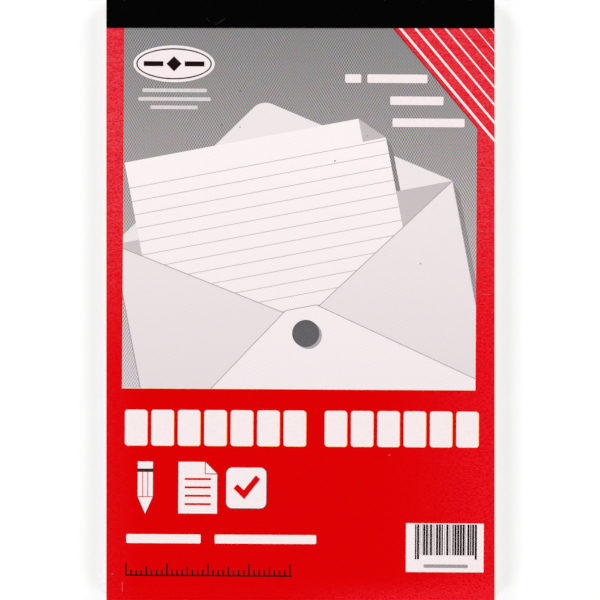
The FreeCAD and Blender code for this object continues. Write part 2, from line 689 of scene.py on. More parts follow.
# Wood-free writing paper, matt and warm white, cut by guillotine and ruled in thin watery inks
WRITING_PAPER = FibrePaper(
    "woodfree_writing_paper",
    "#f4f1ea",
    roughness=0.85,
    fleck="#ece8e0",
    fleck_share=0.3,
    stretch=2.0,
    grain_depth_mm=0.003,
)
SHEET_EDGES = CutEdges("guillotined_sheet_edges", "#f1eee6", roughness=0.9)
# Uncoated inside of the cover paper: plain warm white without sheen
COVER_PAPER = FibrePaper(
    "cover_paper_inside", "#f0ece6", roughness=0.8, fleck="#e4dfd8", fleck_share=0.3, stretch=2.0
)
RULING_BLUE = Ink("ruling_ink_blue", "#9fc3dd", roughness=0.8, mottle="#c6dbe8", mottle_share=0.4)
MARGIN_RED = Ink("ruling_ink_red", "#dc8a93", roughness=0.8, mottle="#e8b6bb", mottle_share=0.4)
# Grey chipboard pressed from waste paper: long fibres and dark flecks
CHIPBOARD = FibrePaper(
    "grey_chipboard",
    "#a2988a",
    roughness=0.9,
    fleck="#7f7568",
    fibre_mm=0.8,
    stretch=3.0,
    grain_mm=0.7,
    grain_depth_mm=0.02,
)
# Black kraft-paper tape with a dull size on its face
TAPE_PAPER = FibrePaper(
    "black_kraft_tape",
    "#020202",
    roughness=0.6,
    shine=0.1,
    fleck="#040404",
    fibre_mm=0.6,
    grain_mm=0.35,
    grain_depth_mm=0.008,
)
# Lifted fibres where the tape is scuffed, a little paler than its face
TAPE_SCUFF = Ink("scuffed_tape_fibre", "#1e1d19", mottle="#0a0a09", mottle_share=0.9, mottle_mm=0.5)
# Padding glue, brushed on and dried to a smooth cream film
PADDING_GLUE = Ink("padding_glue_film", "#e4dfd2", roughness=0.4, mottle="#d2cbbb")


class Layer(Enum):
    """Height of a printed shape above the bare cover, in steps of ink."""

    GROUND = 1
    PANEL = 2
    FAR_SHADOW = 3
    BACK = 4
    NEAR_SHADOW = 5
    SHEET = 6
    RULE = 7
    LINES = 8
    FOLD = 9
    FRONT = 10
    SEAM = 11
    TOP = 12


class Edge(Enum):
    """What a printed shape is trimmed by, besides the cover's own sides."""

    COVER = "cover"
    PICTURE = "picture"


@dataclass(frozen=True)
class PadFrame:
    """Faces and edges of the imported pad, in metres, read from its nodes."""

    left: float
    right: float
    foot: float
    page_head: float
    head_face: float
    tape_edge: float
    tape_back_edge: float
    board_bottom: float
    board_top: float
    block_top: float
    cover_top: float
    tape_top: float

    @classmethod
    def read(cls) -> "PadFrame":
        """Measure the frame's own nodes.

        Returns:
            The pad's faces and edges.
        """
        block_low, block_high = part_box("sheet_block")
        strip_low, strip_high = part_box("cover_head_strip")
        tape_low, tape_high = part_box("binding_tape")
        board_low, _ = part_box("backing_board")
        return cls(
            left=block_low.x,
            right=block_high.x,
            foot=block_low.y,
            page_head=block_high.y,
            head_face=tape_high.y,
            tape_edge=strip_low.y,
            tape_back_edge=tape_low.y,
            board_bottom=board_low.z,
            board_top=block_low.z,
            block_top=block_high.z,
            cover_top=strip_high.z,
            tape_top=tape_high.z,
        )

    @property
    def tape_thickness(self) -> float:
        """Thickness of the binding tape."""
        return self.tape_top - self.cover_top

    @property
    def head_inside(self) -> float:
        """Y of the tape's inner face at the head."""
        return self.head_face - self.tape_thickness


def in_scene(name: str, data: bpy.types.ID) -> bpy.types.Object:
    """Make an object of some data, and link it to the scene.

    Args:
        name: the object's name.
        data: its mesh, lamp or camera.

    Returns:
        The object.
    """
    made = bpy.data.objects.new(name, data)
    bpy.context.scene.collection.objects.link(made)
    return made


def mesh_object(bm: BMesh, name: str, material: bpy.types.Material) -> bpy.types.Object:
    """Turn a bmesh into an object of the scene.

    Args:
        bm: the mesh, which is freed.
        name: the object's name.
        material: its one material.

    Returns:
        The object.
    """
    mesh = bpy.data.meshes.new(name)
    bm.to_mesh(mesh)
    bm.free()
    mesh.materials.append(material)
    return in_scene(name, mesh)


def closed_object(bm: BMesh, name: str, finish: Finish) -> bpy.types.Object:
    """Turn a bmesh into an object with outward faces and one finish.

    Args:
        bm: the mesh, which is freed.
        name: the piece's name.
        finish: its surface.

    Returns:
        The object, linked to the scene.
    """
    bmesh.ops.recalc_face_normals(bm, faces=bm.faces[:])
    made = mesh_object(bm, name, finish.material())
    LOG.info("%s: %d faces", name, len(made.data.polygons))
    return made


def add_face(bm: BMesh, corners: Outline, z: float) -> None:
    """Add one flat level face, from the X and Y of its corners."""
    bm.faces.new([bm.verts.new((x, y, z)) for x, y in corners])


def extrude(bm: BMesh, along: Triple) -> None:
    """Give flat faces a thickness in one direction, so that they become closed solids.

    Args:
        bm: the flat faces.
        along: the direction, as long as the thickness.
    """
    grown = bmesh.ops.extrude_face_region(bm, geom=bm.faces[:])
    verts = [part for part in grown["geom"] if isinstance(part, bmesh.types.BMVert)]
    bmesh.ops.translate(bm, verts=verts, vec=along)


def rise(bm: BMesh, height: float) -> None:
    """Give flat faces a thickness upwards."""
    extrude(bm, (0.0, 0.0, height))


def round_corners(bm: BMesh, verts: list[bmesh.types.BMVert], radius: float, segments: int) -> None:
    """Round some corners of flat faces.

    Args:
        bm: the flat faces.
        verts: the corners.
        radius: radius of the rounding.
        segments: number of straight edges in each arc.
    """
    bmesh.ops.bevel(
        bm,
        geom=verts,
        offset=radius,
        offset_type="OFFSET",
        affect="VERTICES",
        segments=segments,
        profile=0.5,
        material=-1,
    )


def cut(bm: BMesh, on: Triple, outwards: Triple, clear: bool = True) -> None:
    """Divide faces at a plane.

    Args:
        bm: the faces.
        on: a point of the plane.
        outwards: the way that the plane faces.
        clear: whether what lies outside it is cleared away.
    """
    everything = bm.verts[:] + bm.edges[:] + bm.faces[:]
    bmesh.ops.bisect_plane(bm, geom=everything, plane_co=on, plane_no=outwards, clear_outer=clear)


def trim_sides(bm: BMesh, left: float, right: float) -> None:
    """Clear away what lies left and right of two upright lines."""
    cut(bm, (left, 0.0, 0.0), (-1.0, 0.0, 0.0))
    cut(bm, (right, 0.0, 0.0), (1.0, 0.0, 0.0))


def box_outline(left: float, top: float, right: float, bottom: float) -> Outline:
    """Four corners of an upright box."""
    return ((left, top), (right, top), (right, bottom), (left, bottom))


def oval(left: float, top: float, right: float, bottom: float, corners: int = 64) -> Outline:
    """Outline of an upright oval that fills a box.

    Args:
        left: the box's left side.
        top: its head.
        right: its right side.
        bottom: its foot.
        corners: number of corners that the outline gets.

    Returns:
        The corners.
    """
    across, down = (left + right) / 2, (top + bottom) / 2
    wide, high = (right - left) / 2, (bottom - top) / 2
    turns = [math.tau * step / corners for step in range(corners)]
    return [(across + wide * math.cos(turn), down + high * math.sin(turn)) for turn in turns]


def stroke(start: Point, end: Point, width: float) -> Outline:
    """Outline of a straight line of some width.

    Args:
        start: middle of one end, in millimetres.
        end: middle of the other end.
        width: width of the line.

    Returns:
        The four corners.
    """
    run = Vector(end) - Vector(start)
    side = Vector((-run.y, run.x)).normalized() * width / 2
    corners = (Vector(start) + side, Vector(end) + side, Vector(end) - side, Vector(start) - side)
    return [(corner.x, corner.y) for corner in corners]


@dataclass
class Fold:
    """Where the cover bends beside the tape, as it turns over."""

    pad: PadFrame
    tape_lean: float = 0.06 * MM
    length: float = 2.5 * MM
    creases: int = 9

    @property
    def start(self) -> float:
        """Y where the fold starts, just past the tape's edge, which leans by a hair."""
        return self.pad.tape_edge - self.tape_lean

    def crease(self, bm: BMesh) -> None:
        """Divide flat faces across the fold, so that they can bend there.

        Args:
            bm: the flat faces, in the part's frame.
        """
        for step in range(self.creases + 1):
            y = self.start - self.length * step / self.creases
            cut(bm, (0.0, y, 0.0), (0.0, 1.0, 0.0), clear=False)

    def reaches(self, bm: BMesh) -> bool:
        """Whether a mesh in the part's frame comes into the fold."""
        return max(vert.co.y for vert in bm.verts) > self.start - self.length

    def hang(self, piece: bpy.types.Object) -> None:
        """Bake the transform of a piece that crosses the fold into its mesh.

        Args:
            piece: a piece that crosses the fold.
        """
        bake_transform(piece)


@dataclass
class PrintPress:
    """Prints shapes on the cover. Each is a thin closed solid that stands on the bare paper."""

    pad: PadFrame
    fold: Fold
    skew_deg: float = 0.35
    ink_step: float = 0.008 * MM
    under_tape: float = 1.5 * MM
    picture_left: float = 6.2
    picture_right: float = 141.36
    picture_bottom: float = 149.13
    corner_segments: int = 5

    @property
    def paper_top(self) -> float:
        """Height of the cover's bare paper, which the ink brings up to the CAD cover's face."""
        return self.pad.cover_top - len(Layer) * self.ink_step

    def to_cover(self) -> Matrix:
        """Transform from millimetres across and up the page to the part's frame.

        The plates were printed a third of a degree askew of the trimmed edges.

        Returns:
            The transform.
        """
        middle = Vector(((self.pad.left + self.pad.right) / 2, 0.0, 0.0))
        corner = Vector((self.pad.left, self.pad.head_face, self.paper_top - self.ink_step))
        straight = Matrix.Translation(corner) @ Matrix.Diagonal((MM, MM, 1.0, 1.0))
        skew = Matrix.Rotation(math.radians(-self.skew_deg), 4, "Z")
        return Matrix.Translation(middle) @ skew @ Matrix.Translation(-middle) @ straight

    def flat_faces(
        self, outlines: Iterable[Outline], rounding: float, corners: Sequence[int] | None
    ) -> BMesh:
        """Draw flat faces, one to an outline, with their corners rounded.

        Args:
            outlines: corners in millimetres across and down.
            rounding: radius of the corners, in millimetres.
            corners: numbers of the corners that are rounded, or None for all.

        Returns:
            A bmesh in millimetres across and up the page.
        """
        bm = bmesh.new()
        chosen = []
        for outline in outlines:
            verts = [bm.verts.new((across, -down, 0.0)) for across, down in outline]
            bm.faces.new(verts)
            chosen += [vert for number, vert in enumerate(verts) if corners is None or number in corners]
        if rounding:
            round_corners(bm, chosen, rounding, self.corner_segments)
        return bm

    def print_shapes(
        self,
        name: str,
        outlines: Iterable[Outline],
        layer: Layer,
        finish: Finish,
        rounding: float = 0.0,
        edge: Edge = Edge.COVER,
        corners: Sequence[int] | None = None,
    ) -> None:
        """Print closed outlines on the cover, as one piece, attached to the cover's body unless it
        reaches the fold.

        Args:
            name: the piece's name.
            outlines: corners in millimetres across and down.
            layer: how high it stands over the paper.
            finish: its ink.
            rounding: radius of the corners, in millimetres.
            edge: what it is trimmed by.
            corners: numbers of the corners that are rounded, or None for all.
        """
        bm = self.flat_faces(outlines, rounding, corners)
        if edge is Edge.PICTURE:
            trim_sides(bm, self.picture_left, self.picture_right)
            cut(bm, (0.0, -self.picture_bottom, 0.0), (0.0, -1.0, 0.0))
        bmesh.ops.transform(bm, matrix=self.to_cover(), verts=bm.verts[:])
        trim_sides(bm, self.pad.left, self.pad.right)
        cut(bm, (0.0, self.pad.tape_edge + self.under_tape, 0.0), (0.0, 1.0, 0.0))
        folds = self.fold.reaches(bm)
        if folds:
            self.fold.crease(bm)
        rise(bm, (layer.value + 1) * self.ink_step)
        piece = closed_object(bm, name, finish)
        if folds:
            self.fold.hang(piece)
        else:
            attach(piece, COVER_BODY)


@dataclass
class CoverSheet:
    """One sheet of cover paper from the foot to the head, red outside and bare inside."""

    pad: PadFrame
    press: PrintPress

    def build(self) -> None:
        """Make the sheet, dress it and crease it beside the tape."""
        pad = self.pad
        bm = bmesh.new()
        add_face(bm, box_outline(pad.left, pad.foot, pad.right, pad.page_head), pad.block_top)
        self.press.fold.crease(bm)
        rise(bm, self.press.paper_top - pad.block_top)
        sheet = closed_object(bm, "cover_sheet", COVER_PAPER)
        sheet.data.materials.append(RED_INK.material())
        for face in sheet.data.polygons:
            face.material_index = int(face.normal.z > 0.5)
        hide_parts("front_cover", "cover_head_strip")
        self.press.fold.hang(sheet)


@dataclass
class GreyPanel:
    """Grey halftone field with a cut corner, and the pinstripes that fill the corner."""

    press: PrintPress
    cut_top: Point = (108.88, 10.72)
    cut_side: Point = (141.36, 48.76)
    hidden_top: float = 8.0
    trap: float = 0.35
    hairline: float = 0.3
    stripe_count: int = 7
    first_stripe: float = 111.65
    stripe_pitch: float = 5.745
    stripe_angle: float = math.radians(49.7)
    widest: float = 0.94
    narrowest: float = 0.27
    stripe_length: float = 70.0

    @property
    def lead(self) -> float:
        """How far left the cut and its stripes start, hidden under the tape."""
        return (self.cut_top[1] - self.hidden_top) / math.tan(self.stripe_angle)

    def build(self) -> None:
        """Print the field, its edges and the stripes."""
        press = self.press
        left, right, bottom = press.picture_left, press.picture_right, press.picture_bottom
        cut_start = (self.cut_top[0] - self.lead, self.hidden_top)
        field = ((left, self.hidden_top), cut_start, self.cut_side, (right, bottom), (left, bottom))
        foot_line = stroke((left, bottom), (right, bottom), self.hairline)
        cut_line = stroke(cut_start, self.cut_side, self.trap)
        press.print_shapes("print_grey_panel", [field], Layer.PANEL, PANEL_GREY)
        press.print_shapes("print_panel_hairline", [foot_line], Layer.SEAM, CREAM_EDGE)
        press.print_shapes("print_cut_edge", [cut_line], Layer.FAR_SHADOW, RED_TRAP)
        for number in range(self.stripe_count):
            name = f"print_corner_stripe_{number + 1}"
            press.print_shapes(name, [self.stripe(number)], Layer.GROUND, BARE_BOARD)

    def stripe(self, number: int) -> Outline:
        """Outline of one of the corner's stripes, each a little thinner than the one before.

        Args:
            number: the stripe's number, counted from none at the left.

        Returns:
            Its four corners.
        """
        share = number / (self.stripe_count - 1)
        width = self.widest + (self.narrowest - self.widest) * share
        across = self.first_stripe + number * self.stripe_pitch - self.lead
        end = (
            across + self.stripe_length * math.cos(self.stripe_angle),
            self.hidden_top + self.stripe_length * math.sin(self.stripe_angle),
        )
        return stroke((across, self.hidden_top), end, width)


@dataclass
class EnvelopePicture:
    """Generic picture on the panel: an open envelope with a ruled letter and a round button.

    Its points are millimetres right and up from the envelope's middle, before it is tilted.
    """

    press: PrintPress
    middle: Point = (75.0, 121.0)
    tilt_deg: float = 11.0
    half_width: float = 66.0
    half_height: float = 40.0
    flap_rise: float = 44.0
    meet: Point = (0.0, -2.0)
    fold_top: Point = (6.0, 3.0)
    seam_meet: Point = (6.87, 2.37)
    letter_left: float = -56.0
    letter_right: float = 44.0
    letter_top: float = 70.0
    letter_foot: float = -6.0
    ear: float = 9.0
    first_line: float = 60.0
    line_pitch: float = 5.2
    line_width: float = 0.3
    soft_corner: float = 4.0
    button_middle: Point = (0.0, -7.0)
    button_radius: float = 5.2
    button_shift: Point = (0.8, -0.9)
    shadow_shift: Point = (1.7, -1.9)

    def lay(self, points: Outline) -> Outline:
        """Turn points of the picture into places on the cover.

        Args:
            points: millimetres right and up from the envelope's middle.

        Returns:
            Millimetres across and down on the cover.
        """
        turn = Matrix.Rotation(math.radians(self.tilt_deg), 2)
        laid = [turn @ Vector(point) for point in points]
        return [(self.middle[0] + point.x, self.middle[1] - point.y) for point in laid]

    def show(
        self,
        name: str,
        shapes: Iterable[Outline],
        layer: Layer,
        finish: Finish,
        rounding: float = 0.0,
        corners: Sequence[int] | None = None,
    ) -> None:
        """Print shapes of the picture, trimmed by the panel.

        Args:
            name: the piece's name.
            shapes: corners right and up from the envelope's middle, in millimetres.
            layer: how high it stands over the paper.
            finish: its ink.
            rounding: radius of the corners, in millimetres.
            corners: numbers of the corners that are rounded, or None for all.
        """
        laid = [self.lay(shape) for shape in shapes]
        self.press.print_shapes(name, laid, layer, finish, rounding, Edge.PICTURE, corners)

    def build(self) -> None:
        """Print the picture from its shadow up to its button."""
        wide, high = self.half_width, self.half_height
        left_end, right_end, peak = (-wide, high), (wide, high), (0.0, high + self.flap_rise)
        silhouette = ((-wide, -high), (wide, -high), right_end, peak, left_end)
        ear_foot, ear_left = self.letter_top - self.ear, self.letter_right - self.ear
        letter = (
            (self.letter_left, self.letter_foot),
            (self.letter_right, self.letter_foot),
            (self.letter_right, ear_foot),
            (ear_left, self.letter_top),
            (self.letter_left, self.letter_top),
        )
        shift = Vector(self.shadow_shift)
        for name, shape, layer in (
            ("envelope", silhouette, Layer.FAR_SHADOW),
            ("letter", letter, Layer.NEAR_SHADOW),
        ):
            moved = [tuple(Vector(point) + shift) for point in shape]
            self.show(f"print_{name}_shadow", [moved], layer, SHADOW_GREY, self.soft_corner)
        flap, pocket = (left_end, right_end, peak), (left_end, self.meet, right_end)
        self.show("print_envelope_flap", [flap], Layer.BACK, FLAP_TINT, self.soft_corner, [2])
        self.show("print_envelope_pocket", [pocket], Layer.SHEET, POCKET_TINT)
        self.show("print_letter", [letter], Layer.RULE, PAPER_TINT)
        self.print_lines()
        ear = ((self.letter_right, ear_foot), (ear_left, self.letter_top), (ear_left, ear_foot))
        self.show("print_letter_ear", [ear], Layer.FOLD, POCKET_TINT)
        self.print_front()
        self.print_button()

    def print_lines(self) -> None:
        """Rule the letter, as far down as it shows."""
        lines = []
        height = self.first_line
        while height > self.letter_foot + 1:
            ends = (self.letter_left, height), (self.letter_right, height)
            lines.append(stroke(*ends, self.line_width))
            height -= self.line_pitch
        self.show("print_letter_lines", lines, Layer.LINES, LINE_GREY)

    def print_front(self) -> None:
        """Print the pocket's front: two side folds and the bottom fold over them."""
        wide, high = self.half_width, self.half_height
        left_top, right_top = (-wide, high), (wide, high)
        left_foot, right_foot = (-wide, -high), (wide, -high)
        (across, up), (seam_across, seam_up) = self.fold_top, self.seam_meet
        side_folds = [(left_top, left_foot, self.meet), (right_top, right_foot, self.meet)]
        bottom = (left_foot, right_foot, (across, up), (-across, up))
        self.show("print_side_folds", side_folds, Layer.FOLD, FLAP_TINT)
        self.show("print_bottom_fold", [bottom], Layer.FRONT, PAPER_TINT)
        seams = (
            (left_top, (-seam_across, seam_up)),
            (right_top, (seam_across, seam_up)),
            (left_foot, (-across, up)),
            (right_foot, (across, up)),
            ((-across, up), (across, up)),
            (left_top, left_foot),
            (right_top, right_foot),
        )
        lines = [stroke(start, end, self.line_width) for start, end in seams]
        self.show("print_seams", lines, Layer.SEAM, SEAM_GREY)

    def print_button(self) -> None:
        """Print the round button that closes the envelope, over its shadow."""
        radius = self.button_radius
        for name, shift, layer, finish in (
            ("print_button_shadow", self.button_shift, Layer.SEAM, SEAM_GREY),
            ("print_button", (0.0, 0.0), Layer.TOP, SEAL_GREY),
        ):
            x, y = self.button_middle[0] + shift[0], self.button_middle[1] + shift[1]
            disc = oval(x - radius, y - radius, x + radius, y + radius)
            self.show(name, [disc], layer, finish)


@dataclass
class PlainMarks:
    """Plain marks of the cover's own scale and colours: an oval, bars, tiles and small pictures."""

    press: PrintPress
    bar_rounding: float = 0.5
    tile_rounding: float = 1.0
    fringe: Point = (0.28, 0.168)
    outline: float = 0.22
    tile_top: float = 157.4
    tile_foot: float = 171.0
    tile_gap: float = 1.7
    thin_line: float = 0.3
    mark_width: float = 0.6
    bar_seed: int = 7

    def build(self) -> None:
        """Print every mark."""
        self.print_oval()
        self.print_bars()
        self.print_pencil()
        self.print_sheet()
        self.print_tick()
        self.print_ruler()
        self.print_bar_box()

    def print_oval(self) -> None:
        """Print an oval with a ring, a diamond and two bars, and three pale bars below."""
        left, top, right, bottom = 9.8, 18.0, 40.9, 32.1
        show = self.press.print_shapes
        for name, inset, layer, finish in (
            ("print_oval", 0.0, Layer.BACK, BARE_BOARD),
            ("print_oval_ring", 1.1, Layer.NEAR_SHADOW, BLACK_INK),
            ("print_oval_field", 1.6, Layer.SHEET, BARE_BOARD),
        ):
            shape = oval(left + inset, top + inset, right - inset, bottom - inset)
            show(name, [shape], layer, finish)
        middle, centre, reach = (left + right) / 2, (top + bottom) / 2, 2.9
        near, far, thick = reach + 1.2, 11.6, 0.95
        diamond = oval(middle - reach, centre - reach, middle + reach, centre + reach, corners=4)
        ornament = [
            diamond,
            box_outline(middle - far, centre - thick, middle - near, centre + thick),
            box_outline(middle + near, centre - thick, middle + far, centre + thick),
        ]
        show("print_oval_ornament", ornament, Layer.RULE, BLACK_INK)
        lines = (
            box_outline(13.3, 34.5, 37.9, 35.9),
            box_outline(11.8, 37.8, 39.4, 39.2),
            box_outline(16.4, 41.0, 34.5, 42.4),
        )
        show("print_oval_lines", lines, Layer.FAR_SHADOW, PALE_BAR, self.thin_line)

    def print_bars(self) -> None:
        """Print white bars above the picture's right side, two rows of tiles and two bars below."""
        show = self.press.print_shapes
        upper = (
            box_outline(90.8, 28.6, 97.0, 31.9),
            box_outline(99.3, 28.6, 122.3, 31.9),
            box_outline(108.1, 37.0, 128.5, 40.3),
            box_outline(109.0, 45.4, 136.6, 48.7),
        )
        show("print_upper_bars", upper, Layer.SEAM, BARE_BOARD, self.bar_rounding)
        tiles = [*self.tiles(7.4, 76.5, 7), *self.tiles(83.8, 142.5, 6)]
        right, lower = self.fringe
        fringe = [[(across + right, down + lower) for across, down in tile] for tile in tiles]
        show("print_tile_fringe", fringe, Layer.GROUND, YELLOW_PLATE, self.tile_rounding)
        show("print_tiles", tiles, Layer.PANEL, BARE_BOARD, self.tile_rounding)
        below = (box_outline(8.2, 205.0, 36.6, 208.4), box_outline(42.0, 205.0, 80.8, 208.4))
        show("print_lower_bars", below, Layer.PANEL, BARE_BOARD, self.bar_rounding)

    def tiles(self, left: float, right: float, count: int) -> Iterable[Outline]:
        """Equal tiles in a row.

        Args:
            left: where the row starts, in millimetres.
            right: where it ends.
            count: number of tiles.

        Yields:
            Each tile's outline.
        """
        pitch = (right - left + self.tile_gap) / count
        for number in range(count):
            start = left + number * pitch
            yield box_outline(start, self.tile_top, start + pitch - self.tile_gap, self.tile_foot)

    def print_pencil(self) -> None:
        """Print an upright pencil: eraser, band, shaft and point."""
        show = self.press.print_shapes
        left, right, top, bottom, point = 12.4, 18.2, 177.2, 190.6, 197.1
        cap_foot, shaft_top = top + 2.7, top + 4.0
        rim, tip, third = self.outline, (left + right) / 2, (right - left) / 3
        whole = (
            (left - rim, top - rim),
            (right + rim, top - rim),
            (right + rim, bottom),
            (tip, point + rim * 2),
            (left - rim, bottom),
        )
        show("print_pencil_rim", [whole], Layer.GROUND, OUTLINE_INK)
        shaft = box_outline(left, shaft_top, right, bottom)
        cap = box_outline(left, top, right, cap_foot)
        taper = ((left, bottom), (right, bottom), (tip, point))
        show("print_pencil", [shaft, cap, taper], Layer.PANEL, BARE_BOARD)
        grooves = [
            stroke((left + third * step, shaft_top), (left + third * step, bottom), self.thin_line)
            for step in (1, 2)
        ]
        grooves.append(stroke((left, bottom), (right, bottom), self.thin_line))
        show("print_pencil_grooves", grooves, Layer.FAR_SHADOW, RED_DETAIL)

    def print_sheet(self) -> None:
        """Print a sheet with a turned corner and four lines."""
        show = self.press.print_shapes
        left, top, right, bottom, ear = 28.0, 177.2, 42.8, 197.0, 4.6
        margin, first, pitch, thick, crease = 2.4, 6.6, 3.2, 0.8, 0.35
        for name, grow, layer, finish in (
            ("print_sheet_rim", self.outline, Layer.GROUND, OUTLINE_INK),
            ("print_sheet", 0.0, Layer.PANEL, BARE_BOARD),
        ):
            page = (
                (left - grow, top - grow),
                (right - ear, top - grow),
                (right + grow, top + ear),
                (right + grow, bottom + grow),
                (left - grow, bottom + grow),
            )
            show(name, [page], layer, finish)
        heights = [top + first + pitch * step for step in range(4)]
        marks = [stroke((left + margin, down), (right - margin, down), thick) for down in heights]
        marks.append(stroke((right - ear, top), (right - ear, top + ear), crease))
        marks.append(stroke((right - ear, top + ear), (right, top + ear), crease))
        show("print_sheet_lines", marks, Layer.FAR_SHADOW, RED_DETAIL)

    def print_tick(self) -> None:
        """Print a check mark in a rounded box."""
        show = self.press.print_shapes
        left, top, right, bottom = 46.3, 179.3, 61.6, 194.9
        rim = self.outline
        outer = box_outline(left - rim, top - rim, right + rim, bottom + rim)
        show("print_tick_rim", [outer], Layer.GROUND, OUTLINE_INK, 2.4)
        show("print_tick_box", [box_outline(left, top, right, bottom)], Layer.PANEL, BARE_BOARD, 2.3)
        tick = (
            (49.0, 187.3),
            (50.6, 185.6),
            (53.0, 187.9),
            (57.6, 182.2),
            (59.3, 183.7),
            (53.2, 191.4),
        )
        show("print_tick", [tick], Layer.FAR_SHADOW, RED_DETAIL)

    def print_ruler(self) -> None:
        """Print a short scale of plain marks on a line."""
        left, right, base, pitch, inset = 7.9, 71.6, 220.7, 1.96, 0.2
        long_mark, middle_mark, short_mark = 4.6, 3.4, 2.2
        marks = [stroke((left, base), (right, base), self.mark_width)]
        for step in range(int((right - left) / pitch) + 1):
            across = left + inset + step * pitch
            height = long_mark if step % 8 == 0 else middle_mark if step % 4 == 0 else short_mark
            marks.append(stroke((across, base), (across, base - height), self.mark_width))
        self.press.print_shapes("print_ruler", marks, Layer.PANEL, BLACK_INK)

    def print_bar_box(self) -> None:
        """Print a white box with bars of chance widths, that say nothing."""
        show = self.press.print_shapes
        show("print_bar_box", [box_outline(115.15, 200.2, 144.85, 218.85)], Layer.GROUND, BARE_BOARD)
        dice = random.Random(self.bar_seed)
        module, end_zone = 0.26, 1.6
        left, right, top, bottom, guard = 118.6, 142.2, 200.6, 212.4, 214.0
        bars = {BLACK_INK: [], GREY_BAR: []}
        across = left
        while across < right:
            width = module * dice.choice((1, 2, 2, 3, 3))
            at_end = across - left < end_zone or right - across < end_zone
            finish = GREY_BAR if width < 1.5 * module else BLACK_INK
            foot = guard if at_end else bottom
            bars[finish].append(box_outline(across, top, across + width, foot))
            across += width + module * dice.choice((1, 1, 1, 1, 2))
        show("print_box_bars", bars[BLACK_INK], Layer.PANEL, BLACK_INK)
        show("print_box_thin_bars", bars[GREY_BAR], Layer.PANEL, GREY_BAR)
        line = box_outline(121.9, 215.9, 138.8, 217.2)
        show("print_box_line", [line], Layer.PANEL, GREY_BAR, 0.2)


@dataclass
class CoverWear:
    """Small marks of wear that the photograph shows: dust specks and rubbed hairlines."""

    press: PrintPress
    flatness: float = 0.8

    def build(self) -> None:
        """Print specks and hairlines over the rest."""
        specks = (
            (50.7, 35.3, 0.35),
            (43.8, 48.3, 0.3),
            (50.7, 49.1, 0.3),
            (87.1, 61.8, 0.35),
            (99.4, 52.2, 0.3),
            (120.1, 100.9, 0.3),
            (108.6, 174.2, 0.35),
            (2.9, 220.3, 0.3),
        )
        turns = (0.3, 1.6, 2.7, 3.9, 5.2)
        corners = [(math.cos(turn), self.flatness * math.sin(turn)) for turn in turns]
        shapes = [
            [(across + size * right, down + size * lower) for right, lower in corners]
            for across, down, size in specks
        ]
        self.press.print_shapes("print_specks", shapes, Layer.TOP, DUST)
        hairlines = (
            stroke((114.7, 13.2), (118.2, 13.4), 0.22),
            stroke((122.4, 13.5), (125.1, 13.6), 0.16),
            stroke((129.3, 14.1), (131.7, 14.2), 0.2),
            stroke((134.0, 14.3), (136.4, 14.3), 0.16),
            stroke((140.2, 14.5), (147.0, 14.7), 0.16),
            stroke((142.3, 64.1), (147.6, 64.0), 0.22),
            stroke((142.9, 72.1), (146.8, 72.2), 0.2),
            stroke((142.3, 88.6), (147.9, 88.6), 0.22),
            stroke((143.1, 112.4), (147.2, 112.5), 0.2),
            stroke((6.75, 223.3), (6.8, 227.0), 0.22),
        )
        self.press.print_shapes("print_hairlines", hairlines, Layer.TOP, RED_SCRATCH)


